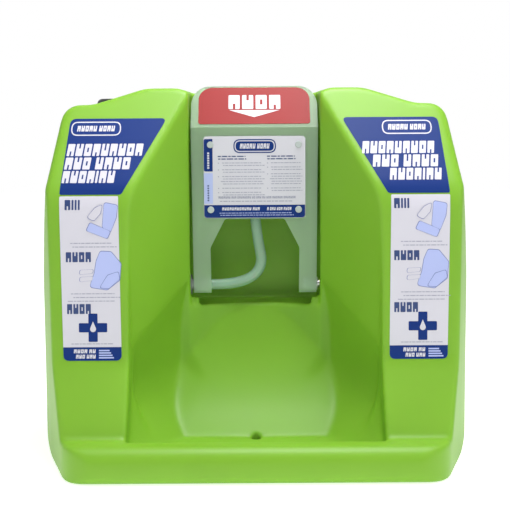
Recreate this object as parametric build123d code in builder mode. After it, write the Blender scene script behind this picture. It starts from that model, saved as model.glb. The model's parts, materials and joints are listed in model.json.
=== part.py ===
from build123d import *
import math
import os

os.makedirs("parts", exist_ok=True)

# Frame: origin at the bottom centre, X to the right, front towards -Y, Z up. Millimetres.

# Tank
tank_half_width = 315.0
tank_half_depth = 238.0
hump_top = 534.0
shoulder_top = 510.0
wall = 6.0
rim_top = 51.0
rim_inner_y = -193.0
form_height = 600.0

corner_radius = 8.0
edge_radius = 7.0
shoulder_radius = 10.0

# Basin, its ramp and the recess for the arm
basin_half_width = 178.0
basin_back_y = -113.0
recess_half_width = 97.0
recess_front_y = -8.0
recess_back_y = 78.0
basin_floor = 30.0
ramp_slope = 1.54
ramp_sag = 24.0
ramp_bend = 300.0
ramp_foot_radius = 10.0
cove_radius = 125.0
cove_base = 5.0
ledge_z = 210.0
riser_mid_y = 19.0

# Drain
drain_y = -97.0
drain_radius = 6.75
drain_boss_radius = 17.0

# Fill port and its cap
port_x = -192.0
port_y = 105.0
seat_z = 498.0
seat_radius = 62.0
neck_radius = 43.0
neck_bore = 37.0
neck_top = 515.0
cap_radius = 54.0
cap_top = 520.0
cap_wall = 3.0

# Pivot line of the arm
pivot_y = 12.0
pivot_z = 240.0
pivot_boss_radius = 15.0
pivot_boss_depth = 24.0

# Arm: an open-backed tray, stowed upright
arm_front_y = -6.0
arm_back_y = 28.0
arm_wall = 3.0
arm_bottom = 229.0
arm_end_radius = 19.2
crease_z = 476.0
arm_top_y = 40.0
arm_top_z = 537.0
arm_half_top = 94.2
arm_half_bottom = 91.5
leg_boss_radius = 10.9
leg_boss_inner_x = 83.2
bush_inner_x = 77.0
stop_top = 221.7

# Instruction plate and its rivets
plate_half_width = 75.5
plate_bottom = 341.5
plate_top = 463.0
plate_thickness = 1.2
rivet_x = 65.3
rivet_low_z = 354.0
rivet_high_z = 450.5
rivet_hole = 2.5

# Swivel outlet
bulkhead_bore = 8.05
bulkhead_radius = 10.0
bulkhead_hole = 10.2
flange_radius = 15.0
flange_thickness = 2.2
hex_radius = 9.0

# Feed hose
hose_radius = 8.0
hose_bore = 6.4
route_points = [(-78.5, 12, 240), (12.8, 12, 240), (0, 20, 340), (0, 20, 399)]
route_share = 0.45

# Nozzle manifold behind the plate
manifold_y = 20.0
manifold_z = 425.0
manifold_radius = 10.0
manifold_half = 60.0
nozzle_x = 46.0
lug_x = 24.0
lug_z = 443.0


def front_outline(inset):
    """Outline of the tank seen from the front."""
    right = [
        ((315, -3), 22), ((315, 250), 150), ((306, 338), 400), ((295, 405), 300),
        ((283, 487), 60), ((277, shoulder_top), 26), ((238, shoulder_top), 60), ((161, hump_top), 60),
        ((112, hump_top), 24), ((94, 527), 20),
    ]
    points = [p for p, r in right] + [(-p[0], p[1]) for p, r in reversed(right)]
    radii = [r for p, r in right] + [r for p, r in reversed(right)]
    with BuildSketch(Plane.XZ) as sketch:
        with BuildLine():
            FilletPolyline(*points, radius=radii, close=True)
        make_face()
        if inset:
            offset(amount=-inset)
    return sketch.sketch


def side_outline(inset):
    """Outline of the tank seen from the right, as Y and Z."""
    corners = [
        ((-238, 0), 16), ((-238, rim_top), 24), ((-188, rim_top), 10), ((-128, 148), 50),
        ((-112, 383), 90), ((4, 540), 28), ((165, 540), 40), ((238, 440), 50),
        ((238, 190), 60), ((125, 0), 12),
    ]
    with BuildSketch(Plane.YZ) as sketch:
        with BuildLine():
            FilletPolyline(*[p for p, r in corners], radius=[r for p, r in corners], close=True)
        make_face()
        if inset:
            offset(amount=-inset)
    return sketch.sketch


def plan_outline(inset):
    """Outline of the tank seen from above."""
    right = [
        ((255, -239.5), 60), ((297.5, -93), 150), ((317, -12), 200), ((317, 170), 70), ((262, 239.5), 60),
    ]
    points = [p for p, r in right] + [(-p[0], p[1]) for p, r in reversed(right)]
    radii = [r for p, r in right] + [r for p, r in reversed(right)]
    with BuildSketch(Plane.XY) as sketch:
        with BuildLine():
            FilletPolyline(*points, radius=radii, close=True)
        make_face()
        if inset:
            offset(amount=-inset)
    return sketch.sketch


def tank_form(inset):
    """The closed outer form of the tank, or the same form drawn inwards."""
    with BuildPart() as form:
        extrude(side_outline(inset), amount=400, both=True)
        extrude(front_outline(inset), amount=300, both=True, mode=Mode.INTERSECT)
        extrude(plan_outline(inset), amount=form_height, both=True, mode=Mode.INTERSECT)
    return form.part


def basin_plan(grow):
    """The V-shaped plan of the basin and the throat behind it."""
    with BuildSketch(Plane.XY) as sketch:
        with BuildLine():
            front_left = (-basin_half_width, rim_inner_y)
            back_left = (-basin_half_width, basin_back_y)
            throat_left = (-recess_half_width, recess_front_y)
            throat_right = (recess_half_width, recess_front_y)
            Polyline(throat_left, back_left, front_left, (basin_half_width, rim_inner_y),
                     (basin_half_width, basin_back_y), throat_right)
            ThreePointArc(throat_right, (0, riser_mid_y), throat_left)
        make_face()
        if grow:
            offset(amount=grow)
    return sketch.sketch


def basin_profile(grow):
    """Side view of the air above the basin floor and its ramp, as Y and Z."""
    foot_y = riser_mid_y - (ledge_z - 2 - basin_floor) / ramp_slope
    run, rise = riser_mid_y - foot_y, ledge_z - 2 - basin_floor
    length = math.hypot(run, rise)
    bend_y = foot_y + run / 2 + ramp_sag * rise / length
    bend_z = basin_floor + rise / 2 - ramp_sag * run / length
    top_z = ledge_z - 2 + (80 - riser_mid_y) * (ledge_z - 2 - bend_z) / (riser_mid_y - bend_y)
    with BuildSketch(Plane.YZ) as sketch:
        with BuildLine():
            FilletPolyline((-300, basin_floor), (foot_y, basin_floor), (bend_y, bend_z), (80, top_z),
                           (80, 700 + top_z), (-300, 700 + top_z),
                           radius=[0, ramp_foot_radius, ramp_bend, 0, 0, 0], close=True)
        make_face()
        if grow:
            offset(amount=grow)
    return sketch.sketch


def basin_space(grow):
    """All the air in front of and above the basin, and the recess for the arm."""
    with BuildPart() as space:
        extrude(basin_plan(grow), amount=700)
        extrude(basin_profile(grow), amount=260, both=True, mode=Mode.INTERSECT)
        for side in (-1, 1):
            along = Vector(side * (basin_half_width - recess_half_width), basin_back_y - recess_front_y)
            inwards = Vector(along.Y, -along.X) * side
            cove = Plane(origin=(side * recess_half_width, recess_front_y, cove_base),
                         x_dir=inwards, z_dir=inwards.cross(Vector(0, 0, 1)))
            with BuildPart(mode=Mode.SUBTRACT):
                with BuildSketch(cove):
                    with Locations((cove_radius - 180, cove_radius - 180)):
                        Rectangle(180, 180, align=(Align.MIN, Align.MIN))
                    with Locations((cove_radius, cove_radius)):
                        Circle(cove_radius + grow, mode=Mode.SUBTRACT)
                extrude(amount=400, both=True)
        with BuildPart(Plane.XY.offset(ledge_z - grow)):
            with Locations((0, (recess_front_y + recess_back_y) / 2)):
                Box(2 * (recess_half_width + grow), recess_back_y - recess_front_y + 2 * grow, 500,
                    align=(Align.CENTER, Align.CENTER, Align.MIN))
    return space.part


def cylinder_x(start_x, end_x, radius, y=pivot_y, z=pivot_z):
    """A round bar along X between two stations."""
    with BuildPart() as bar:
        with Locations(Plane(origin=((start_x + end_x) / 2, y, z), z_dir=(1, 0, 0))):
            Cylinder(radius, abs(end_x - start_x))
    return bar.part


def tube_x(start_x, end_x, outer, inner, y=pivot_y, z=pivot_z):
    """A round tube along X between two stations."""
    with BuildPart() as tube:
        add(cylinder_x(start_x, end_x, outer, y, z))
        add(cylinder_x(min(start_x, end_x) - 1, max(start_x, end_x) + 1, inner, y, z), mode=Mode.SUBTRACT)
    return tube.part


def cylinder_y(start_y, end_y, radius, x, z):
    """A round bar along Y between two stations."""
    with BuildPart() as bar:
        with Locations(Plane(origin=(x, (start_y + end_y) / 2, z), z_dir=(0, 1, 0))):
            Cylinder(radius, abs(end_y - start_y))
    return bar.part


def cylinder_z(start_z, end_z, radius, x, y):
    """A round bar along Z between two heights."""
    with BuildPart() as bar:
        with Locations((x, y, (start_z + end_z) / 2)):
            Cylinder(radius, abs(end_z - start_z))
    return bar.part


def finish(shape, name):
    """Label a piece and write its own file."""
    shape.label = name
    export_step(shape, "parts/" + name + ".step")


# ---------------------------------------------------------------- tank

with BuildPart() as water_space:
    add(tank_form(wall))
    add(basin_space(wall), mode=Mode.SUBTRACT)
    add(cylinder_z(seat_z - wall, 560, seat_radius + wall, port_x, port_y), mode=Mode.SUBTRACT)
    add(cylinder_z(-1, 70, drain_boss_radius, 0, drain_y), mode=Mode.SUBTRACT)
    add(cylinder_x(90, recess_half_width + pivot_boss_depth, pivot_boss_radius), mode=Mode.SUBTRACT)

def edges_near(shape, x, y, z):
    """The edges of a shape closest to a point and to its mirror image across the middle."""
    found = [min(shape.edges(), key=lambda e: ((e @ 0.5) - Vector(side * x, y, z)).length) for side in (1, -1)]
    return found[:1] if found[0].is_same(found[1]) else found


with BuildPart() as tank_shell:
    add(tank_form(0))
    add(basin_space(0), mode=Mode.SUBTRACT)
    add(cylinder_z(seat_z, 560, seat_radius, port_x, port_y), mode=Mode.SUBTRACT)
    add(water_space.part, mode=Mode.SUBTRACT)
    fillet(edges_near(tank_shell, 204, -10, 521), shoulder_radius)
    fillet(edges_near(tank_shell, recess_half_width, recess_back_y, 369), corner_radius)
    fillet(edges_near(tank_shell, recess_half_width, recess_front_y, 367), edge_radius)
    add(cylinder_z(seat_z - wall, neck_top, neck_radius, port_x, port_y))
    add(cylinder_z(seat_z - wall - 5, neck_top + 5, neck_bore, port_x, port_y), mode=Mode.SUBTRACT)
    add(cylinder_z(-5, 70, drain_radius, 0, drain_y), mode=Mode.SUBTRACT)
    add(cylinder_x(-recess_half_width - wall - 1, -90, bulkhead_hole), mode=Mode.SUBTRACT)
    add(cylinder_x(90, 115, 8.0), mode=Mode.SUBTRACT)
    for side in (-1, 1):
        with Locations((side * 89.5, 1.85, (ledge_z - 2 + stop_top) / 2)):
            Box(11, 5.7, stop_top - ledge_z + 2)
finish(tank_shell.part, "tank_shell")
print("water space litres", round(water_space.part.volume / 1e6, 1))


def sticker(corners, radii):
    """A thin label that follows the front of the tank inside the given outline."""
    with BuildPart() as label:
        with BuildSketch(Plane.XZ):
            with BuildLine():
                FilletPolyline(*corners, radius=radii, close=True)
            make_face()
        extrude(amount=300)
        extrude(side_outline(-0.4), amount=400, both=True, mode=Mode.INTERSECT)
        extrude(side_outline(-0.02), amount=400, both=True, mode=Mode.SUBTRACT)
    return label.part


for side, hand in ((-1, "left"), (1, "right")):
    header = [(side * 126, 490), (side * 268, 490), (side * 275, 384), (side * 188, 384)]
    strip = [(side * 193, 381), (side * 275, 381), (side * 272, 151), (side * 190, 151)]
    if side > 0:
        header.reverse()
        strip.reverse()
    finish(sticker(header, [10, 10, 3, 3] if side < 0 else [3, 3, 10, 10]), "decal_" + hand + "_header")
    finish(sticker(strip, [3, 3, 8, 8] if side < 0 else [8, 8, 3, 3]), "decal_" + hand + "_strip")

# ---------------------------------------------------------------- fill cap

with BuildPart() as fill_cap:
    add(cylinder_z(499, cap_top, cap_radius - 1.5, port_x, port_y))
    fillet(fill_cap.edges().group_by(Axis.Z)[-1], 8.0)
    with Locations((port_x, port_y, (499 + cap_top - 9) / 2)):
        with PolarLocations(cap_radius - 1.7, 40):
            Cylinder(1.7, cap_top - 9 - 499)
    add(cylinder_z(490, 518, neck_radius + 0.15, port_x, port_y), mode=Mode.SUBTRACT)
    add(cylinder_z(cap_top - 1, cap_top + 2.5, 12, port_x, port_y))
    add(cylinder_z(510, 540, 1.5, port_x, port_y), mode=Mode.SUBTRACT)
finish(fill_cap.part, "fill_cap")

with BuildPart() as fill_cap_gasket:
    add(cylinder_z(neck_top, 518, neck_radius, port_x, port_y))
    add(cylinder_z(neck_top - 1, 519, neck_bore, port_x, port_y), mode=Mode.SUBTRACT)
finish(fill_cap_gasket.part, "fill_cap_gasket")

# ---------------------------------------------------------------- outlet through the recess wall

wall_inner_x = -recess_half_width - wall
with BuildPart() as outlet_bulkhead:
    add(cylinder_x(-recess_half_width, -recess_half_width + flange_thickness, flange_radius))
    add(cylinder_x(-118, -recess_half_width, bulkhead_radius))
    add(cylinder_x(-120, -90, bulkhead_bore), mode=Mode.SUBTRACT)
finish(outlet_bulkhead.part, "outlet_bulkhead")

finish(tube_x(wall_inner_x - 2, wall_inner_x, 16.5, bulkhead_radius + 0.05), "outlet_bulkhead_gasket")

with BuildPart() as outlet_bulkhead_nut:
    with BuildSketch(Plane(origin=(wall_inner_x - 9, pivot_y, pivot_z), z_dir=(1, 0, 0))):
        RegularPolygon(17, 6)
        Circle(bulkhead_radius + 0.05, mode=Mode.SUBTRACT)
    extrude(amount=7)
finish(outlet_bulkhead_nut.part, "outlet_bulkhead_nut")

with BuildPart() as outlet_strainer:
    add(cylinder_x(-150, -113, 12))
    add(cylinder_x(-148.5, -112, 10.05), mode=Mode.SUBTRACT)
    for station in range(5):
        with Locations(Plane(origin=(-123 - 5.5 * station, pivot_y, pivot_z))):
            Box(2, 8, 40, mode=Mode.SUBTRACT)
            Box(2, 40, 8, mode=Mode.SUBTRACT)
finish(outlet_strainer.part, "outlet_strainer")

with BuildPart() as swivel_barb:
    add(cylinder_x(-114, -92.2, 8.0))
    with BuildSketch(Plane(origin=(-92.2, pivot_y, pivot_z), z_dir=(1, 0, 0))):
        RegularPolygon(hex_radius, 6)
    extrude(amount=92.2 - leg_boss_inner_x)
    add(cylinder_x(-83.2, -79.6, 10.3))
    add(cylinder_x(-79.6, -52, 6.0))
    for station in range(3):
        with Locations(Plane(origin=(-75 + 8 * station, pivot_y, pivot_z), z_dir=(1, 0, 0))):
            Cone(6.33, 6.0, 5)
    add(tube_x(-105.2, -102.8, 8.5, 6.15), mode=Mode.SUBTRACT)
    add(cylinder_x(-120, -45, 4.2), mode=Mode.SUBTRACT)
finish(swivel_barb.part, "swivel_barb")

with BuildPart() as swivel_o_ring:
    with Locations(Plane(origin=(-104, pivot_y, pivot_z), z_dir=(1, 0, 0))):
        Torus(7.08, 0.9)
finish(swivel_o_ring.part, "swivel_o_ring")

# ---------------------------------------------------------------- right pivot

finish(tube_x(recess_half_width, 115, 7.98, 4.05), "pivot_insert")

with BuildPart() as pivot_stud:
    add(cylinder_x(recess_half_width, 113, 4.0))
    add(cylinder_x(76.6, recess_half_width, 5.5))
    add(cylinder_x(72, 76.6, 9.0))
    with BuildSketch(Plane(origin=(71.9, pivot_y, pivot_z), z_dir=(1, 0, 0))):
        RegularPolygon(3.4, 6)
    extrude(amount=3.4, mode=Mode.SUBTRACT)
finish(pivot_stud.part, "pivot_stud")

with BuildPart() as pivot_bush:
    add(cylinder_x(bush_inner_x, 92.1, 7.5))
    add(cylinder_x(92.1, 93.8, 10.0))
    add(cylinder_x(70, 95, 5.56), mode=Mode.SUBTRACT)
finish(pivot_bush.part, "pivot_bush")

# ---------------------------------------------------------------- arm

lean_run = arm_top_y - arm_front_y
lean_rise = arm_top_z - crease_z
lean_length = math.hypot(lean_run, lean_rise)
up_y, up_z = lean_run / lean_length, lean_rise / lean_length
in_y, in_z = up_z, -up_y
lean_depth = 22.0


def arm_side(front_y, top_y, top_z, depth, back_y, bottom):
    """Side view of the arm, or of the hollow behind it, as Y and Z."""
    crease_level = top_z - (top_y - front_y) * up_z / up_y
    back_top = (top_y + in_y * depth, top_z + in_z * depth)
    back_crease = (back_y, back_top[1] - (back_top[0] - back_y) * up_z / up_y)
    with BuildSketch(Plane.YZ) as sketch:
        with BuildLine():
            Polyline((front_y, bottom), (front_y, crease_level), (top_y, top_z), back_top, back_crease,
                     (back_y, bottom), close=True)
        make_face()
    return sketch.sketch


def arm_front(inset):
    """Front view of the arm without its cut-out."""
    half_top, half_bottom = arm_half_top - inset, arm_half_bottom - inset
    with BuildSketch(Plane.XZ) as sketch:
        with BuildLine():
            FilletPolyline((-half_bottom, 200), (half_bottom, 200), (half_top, crease_z),
                           (half_top, arm_top_z - inset), (-half_top, arm_top_z - inset),
                           (-half_top, crease_z), radius=[0, 0, 0, 28 - inset, 28 - inset, 0], close=True)
        make_face()
    return sketch.sketch


def cut_out(grow):
    """The opening between the two legs."""
    with BuildSketch(Plane.XZ) as sketch:
        with BuildLine():
            FilletPolyline((-44.4, 340), (44.4, 340), (66.5, 297), (65.2, 190), (-65.2, 190), (-66.5, 297),
                           radius=[5, 5, 14, 0, 0, 14], close=True)
        make_face()
        if grow:
            offset(amount=grow)
    return sketch.sketch


with BuildPart() as arm_ends:
    add(cylinder_x(-120, 120, arm_end_radius))
    with Locations((0, (arm_front_y + arm_back_y) / 2, arm_bottom)):
        Box(300, arm_back_y - arm_front_y, 30, align=(Align.CENTER, Align.CENTER, Align.MIN),
            mode=Mode.INTERSECT)

with BuildPart() as tray_hollow:
    extrude(arm_side(arm_front_y + arm_wall, arm_top_y + arm_wall * (in_y - up_y),
                     arm_top_z + arm_wall * (in_z - up_z), 60, 90, arm_bottom + arm_wall),
            amount=200, both=True)
    extrude(arm_front(arm_wall), amount=200, both=True, mode=Mode.INTERSECT)
    with BuildPart(mode=Mode.SUBTRACT):
        extrude(cut_out(arm_wall), amount=200, both=True)
        with Locations((0, arm_front_y + arm_wall + 1.75, 270)):
            Box(400, 7.0, 400, mode=Mode.INTERSECT)

with BuildPart() as arm_panel:
    extrude(arm_side(arm_front_y, arm_top_y, arm_top_z, lean_depth, arm_back_y, pivot_z),
            amount=200, both=True)
    add(arm_ends.part)
    extrude(arm_front(0), amount=200, both=True, mode=Mode.INTERSECT)
    add(tray_hollow.part, mode=Mode.SUBTRACT)
    extrude(cut_out(0), amount=200, both=True, mode=Mode.SUBTRACT)
    for side in (-1, 1):
        with Locations((side * (leg_boss_inner_x + 60) / 2, arm_front_y + arm_wall, arm_bottom)):
            Box(leg_boss_inner_x - 60, 60, 8, align=(Align.CENTER, Align.MIN, Align.CENTER),
                mode=Mode.SUBTRACT)
    add(cylinder_x(-90, -leg_boss_inner_x, leg_boss_radius))
    add(cylinder_x(bush_inner_x, 90, leg_boss_radius))
    with BuildSketch(Plane(origin=(-95, pivot_y, pivot_z), z_dir=(1, 0, 0))):
        RegularPolygon(hex_radius + 0.1, 6)
    extrude(amount=15, mode=Mode.SUBTRACT)
    add(cylinder_x(70, 95, 7.5), mode=Mode.SUBTRACT)
    for side in (-1, 1):
        add(cylinder_y(arm_front_y + arm_wall - 0.5, 10, 5.5, side * lug_x, lug_z))
        add(cylinder_y(-1, 12, 2.05, side * lug_x, lug_z), mode=Mode.SUBTRACT)
        for level in (rivet_low_z, rivet_high_z):
            add(cylinder_y(-10, 0, rivet_hole, side * rivet_x, level), mode=Mode.SUBTRACT)
finish(arm_panel.part, "arm_panel")

with BuildPart() as instruction_plate:
    with BuildSketch(Plane.XZ.offset(-arm_front_y)):
        with Locations((0, (plate_bottom + plate_top) / 2)):
            RectangleRounded(2 * plate_half_width, plate_top - plate_bottom, 5)
        for side in (-1, 1):
            with Locations((side * rivet_x, rivet_low_z), (side * rivet_x, rivet_high_z)):
                Circle(rivet_hole, mode=Mode.SUBTRACT)
    extrude(amount=plate_thickness)
finish(instruction_plate.part, "instruction_plate")

plate_front_y = arm_front_y - plate_thickness
with BuildPart() as plate_rivets:
    for side in (-1, 1):
        for level in (rivet_low_z, rivet_high_z):
            add(cylinder_y(plate_front_y - 1.6, plate_front_y, 5.0, side * rivet_x, level))
            add(cylinder_y(plate_front_y, arm_front_y + arm_wall, rivet_hole - 0.1, side * rivet_x, level))
            add(cylinder_y(arm_front_y + arm_wall, arm_front_y + arm_wall + 1.2, 4.0, side * rivet_x, level))
    fillet(plate_rivets.edges().group_by(Axis.Y)[0], 1.0)
finish(plate_rivets.part, "plate_rivets")

lean_plane = Plane(origin=(0, arm_front_y, crease_z), x_dir=(1, 0, 0), z_dir=(0, -in_y, -in_z))
with BuildPart() as pull_label:
    with BuildSketch(lean_plane):
        with BuildLine():
            FilletPolyline((-83, 6), (83, 6), (83, 73.5), (-83, 73.5), radius=[4, 4, 22, 22], close=True)
        make_face()
    extrude(amount=0.6)
finish(pull_label.part, "pull_label")

# ---------------------------------------------------------------- feed hose


def bend_radii(points):
    """The bend at each inner point, from the shorter straight beside it and the turn."""
    radii = []
    for before, here, after in zip(points, points[1:], points[2:]):
        first = Vector(here) - Vector(before)
        second = Vector(after) - Vector(here)
        half_turn = math.radians(first.get_angle(second)) / 2
        radii.append(route_share * min(first.length, second.length) / math.tan(half_turn))
    return radii


route_radii = bend_radii(route_points)
with BuildPart() as feed_hose:
    with BuildLine() as hose_line:
        FilletPolyline(*route_points, radius=route_radii)
    with BuildSketch(Plane(origin=hose_line.line @ 0, z_dir=hose_line.line % 0)):
        Circle(hose_radius)
        Circle(hose_bore, mode=Mode.SUBTRACT)
    sweep()
finish(feed_hose.part, "feed_hose")
hose_section = math.pi * (hose_radius ** 2 - hose_bore ** 2)
hose_length = sum(edge.length for edge in hose_line.edges())
print("hose bend radii", [round(r, 1) for r in route_radii], "length", round(hose_length, 1),
      "volume ratio", round(feed_hose.part.volume / (hose_section * hose_length), 5))

with BuildPart() as hose_clamp_lower:
    add(tube_x(-76.5, -68.5, 9.2, hose_radius + 0.05))
    with Locations((-72.5, pivot_y + 10.2, pivot_z)):
        Box(8, 4, 6)
    add(cylinder_x(-80, -60, hose_radius + 0.05), mode=Mode.SUBTRACT)
finish(hose_clamp_lower.part, "hose_clamp_lower")

with BuildPart() as hose_clamp_upper:
    add(cylinder_z(388, 396, 9.2, 0, manifold_y))
    with Locations((0, manifold_y + 10.2, 392)):
        Box(6, 4, 8)
    add(cylinder_z(380, 400, hose_radius + 0.05, 0, manifold_y), mode=Mode.SUBTRACT)
finish(hose_clamp_upper.part, "hose_clamp_upper")

# ---------------------------------------------------------------- manifold and nozzles

with BuildPart() as nozzle_manifold:
    add(cylinder_x(-manifold_half, manifold_half, manifold_radius, manifold_y, manifold_z))
    add(cylinder_z(399.5, manifold_z, 9.0, 0, manifold_y))
    add(cylinder_z(374, 400, 6.0, 0, manifold_y))
    for side in (-1, 1):
        add(cylinder_y(manifold_y, 36, 9.0, side * nozzle_x, manifold_z))
        with Locations((side * lug_x, 12.5, 437)):
            Box(16, 5, 26)
        add(cylinder_y(8, 18, 2.3, side * lug_x, lug_z), mode=Mode.SUBTRACT)
        add(cylinder_y(manifold_y, 40, 5.5, side * nozzle_x, manifold_z), mode=Mode.SUBTRACT)
    add(cylinder_x(-manifold_half + 4, manifold_half - 4, 6.5, manifold_y, manifold_z), mode=Mode.SUBTRACT)
    add(cylinder_z(370, manifold_z, 4.0, 0, manifold_y), mode=Mode.SUBTRACT)
finish(nozzle_manifold.part, "nozzle_manifold")

with BuildPart() as manifold_screws:
    for side in (-1, 1):
        add(cylinder_y(0, 15, 2.0, side * lug_x, lug_z))
        add(cylinder_y(15, 18, 4.2, side * lug_x, lug_z))
        with BuildSketch(Plane(origin=(side * lug_x, 18, lug_z), z_dir=(0, 1, 0))):
            Rectangle(5.4, 1.1)
            Rectangle(1.1, 5.4)
        extrude(amount=-1.4, mode=Mode.SUBTRACT)
finish(manifold_screws.part, "manifold_screws")

for side, hand in ((-1, "left"), (1, "right")):
    with BuildPart() as nozzle:
        with BuildSketch(Plane.XY):
            with BuildLine():
                Polyline((9.05, 31), (12, 31), (12, 39), (21, 49), (21, 56), (18.5, 56), (18.5, 50),
                         (9.5, 41), (5.5, 40), (5.5, 36.2), (9.05, 36.2), close=True)
            make_face()
        revolve(axis=Axis.Y)
    nozzle_part = Location((side * nozzle_x, 0, manifold_z)) * nozzle.part
    finish(nozzle_part, "nozzle_" + hand)
    with BuildPart() as nozzle_cap:
        with BuildSketch(Plane.XY):
            with BuildLine():
                Polyline((0, 56.1), (21.1, 56.1), (21.1, 50.5), (23, 50.5), (23, 57.4), (21.5, 58.5),
                         (0, 59.4), close=True)
            make_face()
        revolve(axis=Axis.Y)
        for ring_radius, hole_count in ((5.0, 6), (10.5, 12), (16.0, 18)):
            with Locations(Plane(origin=(0, 58, 0), z_dir=(0, 1, 0))):
                with PolarLocations(ring_radius, hole_count):
                    Cylinder(1.1, 8, mode=Mode.SUBTRACT)
    cap_part = Location((side * nozzle_x, 0, manifold_z)) * nozzle_cap.part
    finish(cap_part, "nozzle_cap_" + hand)
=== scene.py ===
import json
import math

import bmesh
import bpy
from mathutils import Matrix, Vector
from mathutils.bvhtree import BVHTree


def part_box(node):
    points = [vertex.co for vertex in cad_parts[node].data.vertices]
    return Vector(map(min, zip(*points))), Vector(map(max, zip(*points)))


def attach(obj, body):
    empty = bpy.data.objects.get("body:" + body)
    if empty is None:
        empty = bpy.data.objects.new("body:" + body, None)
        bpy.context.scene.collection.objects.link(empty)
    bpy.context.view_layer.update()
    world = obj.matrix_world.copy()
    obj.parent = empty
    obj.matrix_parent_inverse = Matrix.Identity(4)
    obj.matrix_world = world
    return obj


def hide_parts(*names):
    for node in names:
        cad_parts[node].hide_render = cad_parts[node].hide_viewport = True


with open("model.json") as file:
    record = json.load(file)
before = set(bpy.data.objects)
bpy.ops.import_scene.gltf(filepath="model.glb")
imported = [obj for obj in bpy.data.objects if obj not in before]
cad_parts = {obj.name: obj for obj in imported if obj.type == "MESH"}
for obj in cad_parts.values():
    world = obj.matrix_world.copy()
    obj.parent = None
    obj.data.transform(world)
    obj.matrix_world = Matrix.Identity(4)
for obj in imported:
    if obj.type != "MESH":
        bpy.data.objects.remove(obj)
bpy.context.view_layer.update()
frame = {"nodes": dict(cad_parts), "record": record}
MM = 0.001

# ------------------------------------------------------------------ materials


def new_material(name):
    """A material with a Principled shader, and its node tree."""
    material = bpy.data.materials.new(name)
    material.use_nodes = True
    tree = material.node_tree
    return material, tree, tree.nodes["Principled BSDF"]


def surface(name, colour, roughness, grain=0.0006, depth=0.15, vary=0.06, **values):
    """A moulded, printed or metal surface: gentle colour variation, uneven gloss and a fine grain.

    The grain is its size in metres, and depth and vary are the strengths of the bump and the colour.
    """
    material, tree, shader = new_material(name)
    nodes, links = tree.nodes, tree.links
    place = nodes.new("ShaderNodeTexCoord")
    cloud = nodes.new("ShaderNodeTexNoise")
    cloud.inputs["Scale"].default_value = 9.0
    cloud.inputs["Detail"].default_value = 4.0
    links.new(place.outputs["Object"], cloud.inputs["Vector"])
    ramp = nodes.new("ShaderNodeValToRGB")
    ramp.color_ramp.elements[0].position = 0.3
    ramp.color_ramp.elements[1].position = 0.7
    ramp.color_ramp.elements[0].color = [c * (1 - vary) for c in colour] + [1]
    ramp.color_ramp.elements[1].color = [min(1, c * (1 + vary)) for c in colour] + [1]
    links.new(cloud.outputs["Fac"], ramp.inputs["Fac"])
    links.new(ramp.outputs["Color"], shader.inputs["Base Color"])
    gloss = nodes.new("ShaderNodeMapRange")
    gloss.inputs["To Min"].default_value = max(0.02, roughness - 0.05)
    gloss.inputs["To Max"].default_value = min(1.0, roughness + 0.05)
    links.new(cloud.outputs["Fac"], gloss.inputs["Value"])
    links.new(gloss.outputs["Result"], shader.inputs["Roughness"])
    fine = nodes.new("ShaderNodeTexNoise")
    fine.inputs["Scale"].default_value = 1.0 / grain
    fine.inputs["Detail"].default_value = 3.0
    links.new(place.outputs["Object"], fine.inputs["Vector"])
    bump = nodes.new("ShaderNodeBump")
    bump.inputs["Strength"].default_value = depth
    bump.inputs["Distance"].default_value = grain * 0.3
    links.new(fine.outputs["Fac"], bump.inputs["Height"])
    links.new(bump.outputs["Normal"], shader.inputs["Normal"])
    for socket, value in values.items():
        shader.inputs[socket.replace("_", " ")].default_value = value
    return material


tank_green = surface("tank_green", (0.190, 0.410, 0.024), 0.43, grain=0.0022, depth=0.10, vary=0.03,
                     Specular_IOR_Level=0.30,
                     Subsurface_Weight=0.25, Subsurface_Scale=0.012, Subsurface_Radius=(0.6, 1.0, 0.3))
film_white = surface("film_white", (0.59, 0.58, 0.64), 0.36, depth=0.05, vary=0.01, Specular_IOR_Level=0.25)
film_blue = surface("film_blue", (0.007, 0.030, 0.170), 0.42, depth=0.05, vary=0.03, Specular_IOR_Level=0.12)
film_pale_blue = surface("film_pale_blue", (0.40, 0.46, 0.76), 0.34, depth=0.05, vary=0.02)
film_navy = surface("film_navy", (0.025, 0.050, 0.160), 0.34, depth=0.05, vary=0.03)
film_grey = surface("film_grey", (0.30, 0.31, 0.40), 0.36, depth=0.05, vary=0.03)
film_line = surface("film_line", (0.16, 0.19, 0.42), 0.36, depth=0.05, vary=0.03)
film_red = surface("film_red", (0.28, 0.010, 0.010), 0.42, depth=0.05, vary=0.03, Specular_IOR_Level=0.15)
arm_frosted = surface("arm_frosted", (0.71, 0.88, 0.70), 0.40, grain=0.0015, depth=0.10, vary=0.03,
                      Transmission_Weight=0.80, IOR=1.25)
hose_clear = surface("hose_clear", (0.37, 0.58, 0.42), 0.22, grain=0.002, depth=0.08, vary=0.04,
                     Transmission_Weight=0.35, Subsurface_Weight=0.2, Subsurface_Scale=0.004)
cap_black = surface("cap_black", (0.012, 0.012, 0.013), 0.38, grain=0.0009, depth=0.25)
steel = surface("steel", (0.56, 0.57, 0.58), 0.28, grain=0.0008, depth=0.12, vary=0.05, Metallic=1.0)
brass = surface("brass", (0.66, 0.46, 0.17), 0.30, grain=0.0008, depth=0.12, vary=0.05, Metallic=1.0)
rubber_black = surface("rubber_black", (0.015, 0.015, 0.015), 0.70, grain=0.0010, depth=0.30)
plastic_white = surface("plastic_white", (0.50, 0.53, 0.50), 0.40, grain=0.0012, depth=0.12)
plastic_grey = surface("plastic_grey", (0.17, 0.18, 0.185), 0.45, grain=0.0012, depth=0.15)
rivet_white = surface("rivet_white", (0.44, 0.49, 0.48), 0.30, grain=0.0012, depth=0.10)

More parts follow.
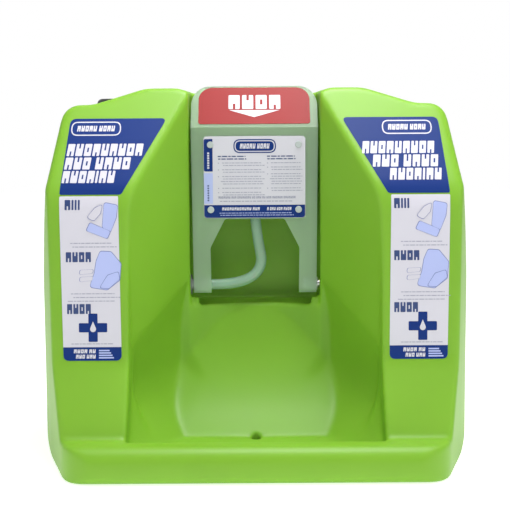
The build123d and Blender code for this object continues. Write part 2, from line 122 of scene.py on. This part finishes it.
finishes = {
    "arm_panel": arm_frosted, "fill_cap": cap_black, "fill_cap_gasket": rubber_black,
    "outlet_bulkhead": plastic_grey, "outlet_bulkhead_nut": plastic_grey,
    "outlet_bulkhead_gasket": rubber_black, "outlet_strainer": plastic_white,
    "swivel_barb": plastic_white, "swivel_o_ring": rubber_black, "pivot_insert": brass,
    "pivot_stud": steel, "pivot_bush": plastic_white, "plate_rivets": rivet_white,
    "hose_clamp_lower": plastic_white, "hose_clamp_upper": steel, "manifold_screws": steel,
    "nozzle_manifold": plastic_grey, "nozzle_left": plastic_grey, "nozzle_right": plastic_grey,
    "nozzle_cap_left": plastic_white, "nozzle_cap_right": plastic_white,
    "instruction_plate": film_white, "pull_label": film_red, "tank_shell": tank_green,
    "feed_hose": hose_clear, "decal_left_header": film_blue, "decal_right_header": film_blue,
    "decal_left_strip": film_white, "decal_right_strip": film_white,
}
for node, material in finishes.items():
    mesh = frame["nodes"][node].data
    mesh.materials.clear()
    mesh.materials.append(material)

# ------------------------------------------------------------------ tank skin
# The tank is moulded with soft edges, so its outside is taken from the CAD solid and rounded.

hinge = next(j for j in frame["record"]["behaviour"]["joints"] if j["name"] == "arm_swing")["pos_m"]
drain = next(m for m in frame["record"]["mounts"] if m["name"] == "drain")["pos_m"]
port_low, port_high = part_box("fill_cap")
port_x, port_y = (port_low[0] + port_high[0]) / 2, (port_low[1] + port_high[1]) / 2
gasket_low, gasket_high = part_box("fill_cap_gasket")
tank_wall = 6 * MM
neck_bore = (gasket_high[0] - gasket_low[0]) / 2 - tank_wall
neck_top = gasket_low[2]
neck_depth = 45 * MM
outlet_hole = 10.2 * MM
near = 0.3 * MM
voxel = 2.6 * MM


def on_neck_bore(point):
    """Whether a point lies on the wall of the fill neck."""
    reach = math.hypot(point.x - port_x, point.y - port_y)
    return abs(reach - neck_bore) < near and neck_top - 40 * MM < point.z < neck_top + MM


def on_outlet_hole(point):
    """Whether a point lies on the wall of the hole for the outlet, in the left cheek."""
    reach = math.hypot(point.y - hinge[1], point.z - hinge[2])
    return abs(reach - outlet_hole) < near and -110 * MM < point.x < -90 * MM


def outside_only(source):
    """The outer surface of a hollow CAD solid, closed over its two openings to the inside."""
    shell = bmesh.new()
    shell.from_mesh(source.data)
    bmesh.ops.remove_doubles(shell, verts=shell.verts, dist=0.01 * MM)
    linking = [f for f in shell.faces
               if all(on_neck_bore(v.co) for v in f.verts)
               or all(on_outlet_hole(v.co) for v in f.verts)]
    bmesh.ops.delete(shell, geom=linking, context="FACES")
    lowest = min(shell.verts, key=lambda v: v.co.y)
    seen, front = {lowest}, [lowest]
    while front:
        vertex = front.pop()
        for edge in vertex.link_edges:
            other = edge.other_vert(vertex)
            if other not in seen:
                seen.add(other)
                front.append(other)
    bmesh.ops.delete(shell, geom=[v for v in shell.verts if v not in seen], context="VERTS")
    rims = [e for e in shell.edges if e.is_boundary]
    bore = [e for e in rims if all(v.co.z > neck_top - MM for v in e.verts)]
    deeper = bmesh.ops.extrude_edge_only(shell, edges=bore)["geom"]
    for item in deeper:
        if isinstance(item, bmesh.types.BMVert):
            item.co.z -= neck_depth
    bmesh.ops.holes_fill(shell, edges=[e for e in shell.edges if e.is_boundary], sides=0)
    bmesh.ops.recalc_face_normals(shell, faces=shell.faces)
    mesh = bpy.data.meshes.new("tank_skin")
    shell.to_mesh(mesh)
    shell.free()
    return mesh


def softness(point):
    """How much the edges here are rounded, from 0, kept as drawn, to 1."""
    port_recess, cap_seat = 66 * MM, 55 * MM
    from_port = math.hypot(point.x - port_x, point.y - port_y)
    if from_port < port_recess and point.z > neck_top - 50 * MM:
        return 0.12 if from_port > cap_seat else 0.0

    drain_surround, drain_edge, basin_low = 26 * MM, 12 * MM, 80 * MM
    from_drain = math.hypot(point.x - drain[0], point.y - drain[1])
    if from_drain < drain_surround and point.z < basin_low:
        return 0.0 if from_drain < drain_edge else 0.4

    underside, foot_reach = 3 * MM, 200 * MM
    if point.z < underside and math.hypot(point.x / 1.25, point.y) < foot_reach:
        return 0.3

    pivot_reach = 34 * MM
    from_pivot = math.hypot(point.y - hinge[1], point.z - hinge[2])
    if from_pivot < pivot_reach and 70 * MM < abs(point.x) < 125 * MM:
        return 0.15

    recess_half_width, recess_front = 104 * MM, -14 * MM
    if abs(point.x) < recess_half_width and point.y > recess_front:
        return 0.6
    return 1.0


skin = bpy.data.objects.new("tank_skin", outside_only(frame["nodes"]["tank_shell"]))
bpy.context.scene.collection.objects.link(skin)
remesh = skin.modifiers.new("even_mesh", "REMESH")
remesh.mode = "VOXEL"
remesh.voxel_size = voxel


def bake_modifiers(thing):
    """Replace a mesh with what its modifiers make of it."""
    graph = bpy.context.evaluated_depsgraph_get()
    made = bpy.data.meshes.new_from_object(thing.evaluated_get(graph))
    thing.modifiers.clear()
    old = thing.data
    thing.data = made
    bpy.data.meshes.remove(old)


bake_modifiers(skin)


def step(value, low, high):
    """0 below low, 1 above high, and smooth between."""
    t = min(1.0, max(0.0, (value - low) / (high - low)))
    return t * t * (3 - 2 * t)


# Below a line that falls outwards, the cheeks of the basin are hollowed a little.
cheek_back, cheek_front = Vector((97, -8)) * MM, Vector((178, -113)) * MM
along = (cheek_front - cheek_back).normalized()
outwards = Vector((-along.y, along.x))
hollow_start, hollow_fall = 253 * MM, 0.64
hollow_height, hollow_slope = 150 * MM, 0.31
hollow_run, hollow_inset = 140 * MM, 40 * MM


def hollowed(point):
    """Where a point of the skin goes when the cheeks are hollowed."""
    side = -1 if point.x < 0 else 1
    from_back = Vector((abs(point.x), point.y)) - cheek_back
    run, inset = from_back.dot(along), -from_back.dot(outwards)
    below = (hollow_start - hollow_fall * run - point.z) / math.hypot(1, hollow_fall)
    if not (0 < run < hollow_run and -3 * MM < inset < hollow_inset and 0 < below < hollow_height):
        return point
    depth = hollow_slope * below * (1 - below / hollow_height)
    depth *= step(run, 0, 9 * MM) * (1 - step(run, 118 * MM, 132 * MM))
    depth *= 1 - step(inset, 8 * MM, hollow_inset)
    return point + Vector((side * outwards.x, outwards.y, 0)) * depth


for vertex in skin.data.vertices:
    vertex.co = hollowed(vertex.co)

levels = {}
for vertex in skin.data.vertices:
    levels.setdefault(softness(vertex.co), []).append(vertex.index)
group = skin.vertex_groups.new(name="soft")
for level, members in levels.items():
    group.add(members, level, "REPLACE")
smooth = skin.modifiers.new("soft_edges", "SMOOTH")
smooth.factor = 0.5
smooth.iterations = 26
smooth.vertex_group = "soft"
bake_modifiers(skin)
lighter = skin.modifiers.new("fewer_faces", "DECIMATE")
lighter.ratio = 0.30
bake_modifiers(skin)
skin.vertex_groups.clear()
skin.data.materials.clear()
skin.data.materials.append(tank_green)
skin.data.polygons.foreach_set("use_smooth", [True] * len(skin.data.polygons))
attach(skin, "tank")
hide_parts("tank_shell")

# ------------------------------------------------------------------ printed graphics
# Every graphic is a thin flat shape laid on the surface. Shapes are drawn in millimetres.

skin_tree = BVHTree.FromPolygons([v.co[:] for v in skin.data.vertices],
                                 [p.vertices[:] for p in skin.data.polygons])


def box_shape(left, low, right, high, slant=0.0):
    """A rectangle, or a slanted one."""
    lean = slant * (high - low)
    return [(left, low), (right, low), (right + lean, high), (left + lean, high)]


def round_shape(corners, radius, steps=6):
    """A closed outline with its corners rounded. The radius is one value or one for each corner."""
    outline = []
    count = len(corners)
    for i, corner in enumerate(corners):
        reach = radius[i] if isinstance(radius, (list, tuple)) else radius
        here = Vector(corner)
        before = (Vector(corners[i - 1]) - here)
        after = (Vector(corners[(i + 1) % count]) - here)
        if reach <= 0:
            outline.append(tuple(here))
            continue
        half = before.angle(after) / 2
        cut = min(reach / math.tan(half), before.length * 0.49, after.length * 0.49)
        start, end = here + before.normalized() * cut, here + after.normalized() * cut
        for k in range(steps + 1):
            t = k / steps
            outline.append(tuple((1 - t) ** 2 * start + 2 * t * (1 - t) * here + t ** 2 * end))
    return outline


def circle_shape(x, y, radius, steps):
    """A closed outline close to a circle."""
    turns = [2 * math.pi * k / steps for k in range(steps)]
    return [(x + radius * math.cos(turn), y + radius * math.sin(turn)) for turn in turns]


block_widths = {"i": 0.45, " ": 0.40}
slit_spans = ((0.0, 0.38), (0.62, 1.0), (0.32, 0.68), (0.0, 0.30), (0.45, 1.0))
slant_default = 0.12


def word(left, right, low, high, letters, slant):
    """Blocks that stand in for a word, and the slits in them. i is narrow, and a space is a gap."""
    height = high - low
    unit = (right - left - slant * height) / sum(block_widths.get(k, 1.0) for k in letters)
    blocks, slits = [], []
    x = left
    for place, letter in enumerate(letters):
        across = unit * block_widths.get(letter, 1.0)
        if letter != " ":
            start, stop = x + unit * 0.09, x + across - unit * 0.09
            blocks.append(round_shape(box_shape(start, low, stop, high, slant), height * 0.06, 2))
            if letter != "i":
                middle, half = (start + stop) / 2, unit * 0.09
                bottom, top = slit_spans[place % len(slit_spans)]
                base = low + bottom * height
                slit = box_shape(middle - half, base, middle + half, low + top * height, slant)
                shift = slant * (base - low)
                slits.append([(px + shift, pz) for px, pz in slit])
        x += across
    return blocks, slits


dash_lengths = (3.2, 5.6, 2.4, 4.4, 6.8)


def text_lines(left, right, top, count, pitch, thick, ragged=0.12):
    """Small print stood in for by thin broken lines."""
    shapes = []
    for row in range(count):
        start = left + (right - left) * ragged * (0.5 + 0.5 * math.sin(row * 2.3))
        stop = right - (right - left) * ragged * (0.5 + 0.5 * math.sin(row * 3.7 + 1))
        high = top - row * pitch
        piece = start
        count_along = 0
        while piece < stop - 1:
            length = dash_lengths[(row * 2 + count_along) % len(dash_lengths)] * thick / 1.1
            shapes.append(box_shape(piece, high - thick, min(piece + length, stop), high))
            piece += length + thick * 0.9
            count_along += 1
    return shapes


class Print:
    """Flat coloured shapes on one surface, gathered into one object."""

    def __init__(self, name, place, slice_step=None):
        """place puts a flat point on the surface. Slices let a shape follow a curved one."""
        self.name, self.place, self.slice_step = name, place, slice_step
        self.materials, self.shapes = [], []

    def add(self, material, layer, *shapes):
        """Add shapes of one colour. A higher layer lies over a lower one."""
        if material not in self.materials:
            self.materials.append(material)
        for shape in shapes:
            self.shapes.append((self.materials.index(material), layer, shape))
        return self

    def words(self, ink, ground, layer, left, right, low, high, letters, slant=slant_default):
        """A word on a plain ground."""
        blocks, slits = word(left, right, low, high, letters, slant)
        return self.add(ink, layer, *blocks).add(ground, layer + 1, *slits)

    def outlined(self, fill, line, layer, corners, radius, thick=0.7):
        """A rounded shape with a thin line round it."""
        middle_x = sum(x for x, y in corners) / len(corners)
        middle_y = sum(y for x, y in corners) / len(corners)
        inner = []
        for x, y in corners:
            away = Vector((x - middle_x, y - middle_y))
            inner.append(tuple(Vector((x, y)) - away.normalized() * thick * 1.3))
        self.add(line, layer, round_shape(corners, radius))
        return self.add(fill, layer + 1, round_shape(inner, radius))

    def build(self, body, slot, *replaced):
        """Make the object, on this body. It stands in for the CAD nodes named."""
        whole = bmesh.new()
        for index, layer, shape in self.shapes:
            part = bmesh.new()
            corners = [part.verts.new((x * MM, y * MM, 0)) for x, y in shape]
            face = part.faces.new(corners)
            bmesh.ops.triangulate(part, faces=[face])
            if self.slice_step:
                low = min(y for x, y in shape)
                high = max(y for x, y in shape)
                level = math.ceil(low / self.slice_step) * self.slice_step
                while level < high:
                    everything = part.verts[:] + part.edges[:] + part.faces[:]
                    bmesh.ops.bisect_plane(part, geom=everything,
                                           plane_co=(0, level * MM, 0), plane_no=(0, 1, 0))
                    level += self.slice_step
            for vertex in part.verts:
                vertex.co = self.place(vertex.co.x, vertex.co.y, layer)
            for face in part.faces:
                face.material_index = index
                face.smooth = True
            middle = bpy.data.meshes.new("part")
            part.to_mesh(middle)
            part.free()
            whole.from_mesh(middle)
            bpy.data.meshes.remove(middle)
        mesh = bpy.data.meshes.new(self.name)
        whole.to_mesh(mesh)
        whole.free()
        for material in self.materials:
            mesh.materials.append(material)
        piece = bpy.data.objects.new(self.name, mesh)
        bpy.context.scene.collection.objects.link(piece)
        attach(piece, body)
        if replaced:
            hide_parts(*replaced)


def on_tank(x, z, layer):
    """A point of the tank's front at this X and Z, lifted by its layer."""
    point, normal = skin_tree.ray_cast(Vector((x, -0.6, z)), Vector((0, 1, 0)))[:2]
    return point + normal * (0.30 + 0.12 * layer) * MM


def header(side):
    """Corners of the sticker on the leaning part of the tank."""
    return [(side * 127, 490), (side * 267, 490), (side * 275, 384), (side * 188, 384)]


def strip(side):
    """Corners of the sticker below it."""
    return [(side * 192, 382), (side * 275, 382), (side * 271, 151), (side * 189, 151)]


# Each row is its left, right, low and high edges, and its letters.
header_words = {
    -1: ((-270, -158, 437, 454, "mmmmmmmmm"), (-272, -175, 418.5, 435, "mmm mmmm"),
         (-274, -196, 400, 416.5, "mmmmimm")),
    1: ((153, 260, 438.5, 455.5, "mmmmmmmmm"), (167, 264, 420, 436.5, "mmm mmmm"),
        (190, 267, 402, 418, "mmmmimm")),
}
for side, hand in ((-1, "left"), (1, "right")):
    sticker = Print("sticker_" + hand + "_header", on_tank, 5)
    sticker.add(film_blue, 0, round_shape(header(side), (5, 10, 3, 6)))
    left = -265 if side < 0 else 185
    sticker.add(film_white, 1, round_shape(box_shape(left, 465.5, left + 72, 485.5), 9.4))
    sticker.add(film_blue, 2, round_shape(box_shape(left + 1.6, 467.1, left + 70.4, 483.9), 7.9))
    sticker.words(film_white, film_blue, 3, left + 8, left + 64, 471.5, 479.5, "mmmmm mmmm")
    for row in header_words[side]:
        sticker.words(film_white, film_blue, 1, *row)
    sticker.build("tank", "vinyl_label", "decal_" + hand + "_header")

    sticker = Print("sticker_" + hand + "_strip", on_tank, 5)
    sticker.add(film_white, 0, round_shape(strip(side), (2, 2, 8, 8)))
    # The left strip's pictures move to the right as they go down, and the right strip's don't.
    x0 = -272 if side < 0 else 193
    drift = 1 if side < 0 else 0
    foot = [(side * 189.3, 170), (side * 271.3, 170), (side * 271, 151), (side * 189, 151)]
    sticker.add(film_blue, 1, round_shape(foot, (0, 0, 8, 8)))
    for drop, right, low, letters in ((0, 23, 363, "miii"), (1, 37, 290, "mmmm"), (2, 35, 217, "mmmm")):
        across = x0 + 2 + (drop + 2) * drift
        sticker.words(film_navy, film_white, 1, across, across + right, low, low + 14, letters, 0)
    # a housing with its panel pulled down
    across = x0 + 2 * drift
    sticker.outlined(film_pale_blue, film_line, 1, [(across + x, z) for x, z in
                     ((58, 374), (78, 370), (76, 352), (67, 330), (55, 338))], 4)
    sticker.outlined(film_pale_blue, film_line, 3, [(across + x, z) for x, z in
                     ((32, 334), (63, 322), (68, 333), (38, 346))], 3)
    sticker.outlined(film_white, film_line, 5, [(across + x, z) for x, z in
                     ((33, 352), (45, 366), (57, 372), (54, 358), (44, 347))], 4, 0.6)
    sticker.add(film_grey, 1, *text_lines(x0 + 8, x0 + 78, 317, 2, 5.2, 1.2))
    # a pair of nozzles under a hood
    across = x0 + 4 * drift
    sticker.outlined(film_pale_blue, film_line, 1, [(across + x, z) for x, z in
                     ((34, 254), (60, 250), (78, 264), (80, 288), (66, 305), (50, 306), (44, 292),
                      (41, 274))], 5)
    sticker.outlined(film_pale_blue, film_line, 3, [(across + x, z) for x, z in
                     ((48, 253), (62, 252), (78, 266), (76, 277), (60, 272))], 3)
    for x, z in ((20, 272), (20, 262)):
        sticker.outlined(film_white, film_line, 1, [(across + x, z), (across + x + 20, z + 2),
                         (across + x + 21, z + 8), (across + x + 1, z + 7)], 3, 0.6)
    sticker.add(film_grey, 1, *text_lines(x0 + 8, x0 + 82, 246, 3, 5.2, 1.2))
    # a plain plus sign with a drop in the middle
    centre_x, centre_z = x0 + 43, 197.5
    for half_wide, half_high in ((6.5, 20), (20, 6.5)):
        arm = box_shape(centre_x - half_wide, centre_z - half_high,
                        centre_x + half_wide, centre_z + half_high)
        # The two arms cross, so they lie at slightly different heights.
        sticker.add(film_blue, 1 + half_wide / 100, round_shape(arm, 1.5))
    sticker.add(film_white, 3, [(centre_x, centre_z + 9)] + [
        (centre_x + 4.2 * math.cos(math.radians(a)), centre_z - 2 + 4.2 * math.sin(math.radians(a)))
        for a in range(30, -211, -20)])
    sticker.add(film_grey, 1, *text_lines(x0 + 8, x0 + 80, 175.3, 1, 5.2, 1.2))
    sticker.words(film_white, film_blue, 2, x0 + 15, x0 + 47, 161.5, 167, "mmmm mm", 0.1)
    sticker.words(film_white, film_blue, 2, x0 + 18, x0 + 47, 154, 159.5, "mmm mmm", 0.1)
    for stripe in range(4):
        low = 154 + 3.4 * stripe
        sticker.add(film_pale_blue, 2, box_shape(x0 + 51, low, x0 + 72 - 2 * stripe, low + 2))
    sticker.build("tank", "vinyl_label", "decal_" + hand + "_strip")

# ------------------------------------------------------------------ arm graphics

plate_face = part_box("instruction_plate")[0][1]


def on_plate(x, z, layer):
    """A point in front of the instruction plate."""
    return Vector((x, plate_face - (0.10 + 0.08 * layer) * MM, z))


plate = Print("plate_print", on_plate)
plate.add(film_blue, 1, round_shape(box_shape(-75, 411, -62, 459), (3, 0, 0, 3)))
plate.add(film_pale_blue, 1, box_shape(-75, 363, -62, 408.5))
plate.add(film_blue, 1, round_shape(box_shape(-75, 342, 75, 361), (5, 5, 0, 0)))
plate.add(film_blue, 1, round_shape(box_shape(-31, 438, 32, 458.5), 9.8))
plate.add(film_white, 2, round_shape(box_shape(-29.3, 439.7, 30.3, 456.8), 8.2))
plate.add(film_blue, 3, round_shape(box_shape(-27.8, 441.2, 28.8, 455.3), 6.8))
plate.words(film_white, film_blue, 4, -22, 23, 444.5, 452, "mmmmm mmmm")
for row in range(7):
    plate.add(film_white, 2, box_shape(-70, 415 + 3.6 * row, -67, 417.6 + 3.6 * row))
    plate.add(film_navy, 2, box_shape(-70, 367 + 3.6 * row, -67.6, 369.2 + 3.6 * row))
for left, right, steps in ((-50, 15, (2, 2, 4, 1, 2)), (23, 71, (1, 2, 5, 2))):
    plate.add(film_navy, 1, *text_lines(left - 5, left + 38, 434, 2, 3.9, 1.6, 0.03))
    top = 424
    for count in steps:
        plate.add(film_grey, 1, circle_shape(left - 3.5, top - 0.8, 0.9, 8))
        plate.add(film_grey, 1, *text_lines(left, right, top, count, 3.7, 1.1, 0.06))
        top -= 3.7 * count + 2.6
plate.words(film_grey, film_white, 1, -54, 61, 370.5, 374,
            "mmmmmmm mmm mmmmmmmm mm mmm mm mmm mmmmmm mmmmmmm", 0)
plate.add(film_grey, 1, *text_lines(-54, 60, 367.2, 1, 5.4, 1.3, 0.04))
plate.words(film_white, film_blue, 2, -49, 8, 353, 357.5, "mmmmmmmmmmmm mmm", 0.1)
plate.words(film_white, film_blue, 2, 18, 55, 353, 357.5, "m mmm mmm mmmm", 0.1)
plate.add(film_pale_blue, 2, *text_lines(-54, 58, 349.5, 2, 3.2, 1.0, 0.03))
plate.build("arm", "printed_plate")

crease_y, crease_z = -6 * MM, 476 * MM
lean = math.atan2(46, 61)
up_slope = Vector((0, math.sin(lean), math.cos(lean)))
off_slope = Vector((0, -math.cos(lean), math.sin(lean)))


def on_pull_label(x, distance, layer):
    """A point of the leaning label, at this X and this far up the slope."""
    height = (0.70 + 0.10 * layer) * MM
    return Vector((x, crease_y, crease_z)) + up_slope * distance + off_slope * height


pull = Print("pull_print", on_pull_label)
pull.words(film_white, film_red, 1, -40, 41, 33, 59, "mmmm", 0)
pull.add(film_white, 1, [(-37, 31), (0, 18), (38, 31)])
pull.build("arm", "pull_label")

# ------------------------------------------------------------------ feed hose

hose_radius = 8 * MM
route = [(-78.5, 12, 240), (19, 12, 235), (-2.5, 20, 340), (0, 20, 399)]
curve = bpy.data.curves.new("hose", "CURVE")
curve.dimensions = "3D"
spline = curve.splines.new("NURBS")
spline.points.add(len(route) - 1)
for point, place in zip(spline.points, route):
    point.co = (place[0] * MM, place[1] * MM, place[2] * MM, 1)
spline.order_u = 3
spline.use_endpoint_u = True
spline.resolution_u = 24
curve.bevel_depth = hose_radius
curve.bevel_resolution = 8
curve.use_fill_caps = True
curve.materials.append(hose_clear)
hose = bpy.data.objects.new("hose", curve)
bpy.context.scene.collection.objects.link(hose)
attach(hose, "arm")
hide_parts("feed_hose")

# ------------------------------------------------------------------ room, lights and camera

paper, _, paper_shader = new_material("paper")
paper_shader.inputs["Base Color"].default_value = (0.80, 0.80, 0.80, 1)
paper_shader.inputs["Roughness"].default_value = 0.9
paper_shader.inputs["Emission Color"].default_value = (1, 1, 1, 1)
paper_shader.inputs["Emission Strength"].default_value = 0.68
floor_mesh = bpy.data.meshes.new("floor")
reach = 6
floor_mesh.from_pydata([(-reach, -reach, 0), (reach, -reach, 0), (reach, reach, 0), (-reach, reach, 0)],
                       [], [(0, 1, 2, 3)])
floor_mesh.materials.append(paper)
floor = bpy.data.objects.new("floor", floor_mesh)
bpy.context.scene.collection.objects.link(floor)


def softbox(name, place, target, wide, high, power):
    """A rectangular area light that faces a target."""
    light = bpy.data.lights.new(name, "AREA")
    light.shape = "RECTANGLE"
    light.size, light.size_y = wide, high
    light.energy = power
    lamp = bpy.data.objects.new(name, light)
    lamp.location = place
    lamp.rotation_euler = (Vector(target) - Vector(place)).to_track_quat("-Z", "Y").to_euler()
    bpy.context.scene.collection.objects.link(lamp)


softbox("overhead", (0.15, -0.06, 1.8), (0, -0.05, 0.2), 0.9, 0.5, 28)
softbox("leaning_sheen", (0.10, -0.48, 2.0), (0, 0, 0.4), 1.3, 0.30, 3.5)
softbox("right_front", (1.6, -1.2, 1.1), (0, 0, 0.35), 0.8, 1.2, 7)
softbox("left_front", (-1.6, -1.2, 1.1), (0, 0, 0.2), 0.8, 1.2, 4)

# The backdrop looks white, but lights the object less than it looks.
world = bpy.data.worlds.new("studio")
world.use_nodes = True
world_nodes, world_links = world.node_tree.nodes, world.node_tree.links
fill = world_nodes["Background"]
fill.inputs["Color"].default_value = (1, 1, 1, 1)
fill.inputs["Strength"].default_value = 0.48
plain = world_nodes.new("ShaderNodeBackground")
plain.inputs["Color"].default_value = (1, 1, 1, 1)
plain.inputs["Strength"].default_value = 1.0
rays = world_nodes.new("ShaderNodeLightPath")
choose = world_nodes.new("ShaderNodeMixShader")
world_links.new(rays.outputs["Is Camera Ray"], choose.inputs[0])
world_links.new(fill.outputs["Background"], choose.inputs[1])
world_links.new(plain.outputs["Background"], choose.inputs[2])
world_links.new(choose.outputs["Shader"], world_nodes["World Output"].inputs["Surface"])
bpy.context.scene.world = world
bpy.context.scene.view_settings.view_transform = "Standard"

camera_pitch, camera_roll = 83.5, -0.35
camera_data = bpy.data.cameras.new("camera")
camera_data.sensor_width = 36
camera_data.lens = 89.3
camera = bpy.data.objects.new("camera", camera_data)
camera.location = (0, -1.886, 0.500)
camera.rotation_euler = (Matrix.Rotation(math.radians(camera_pitch), 4, "X")
                         @ Matrix.Rotation(math.radians(camera_roll), 4, "Z")).to_euler()
bpy.context.scene.collection.objects.link(camera)
bpy.context.scene.camera = camera
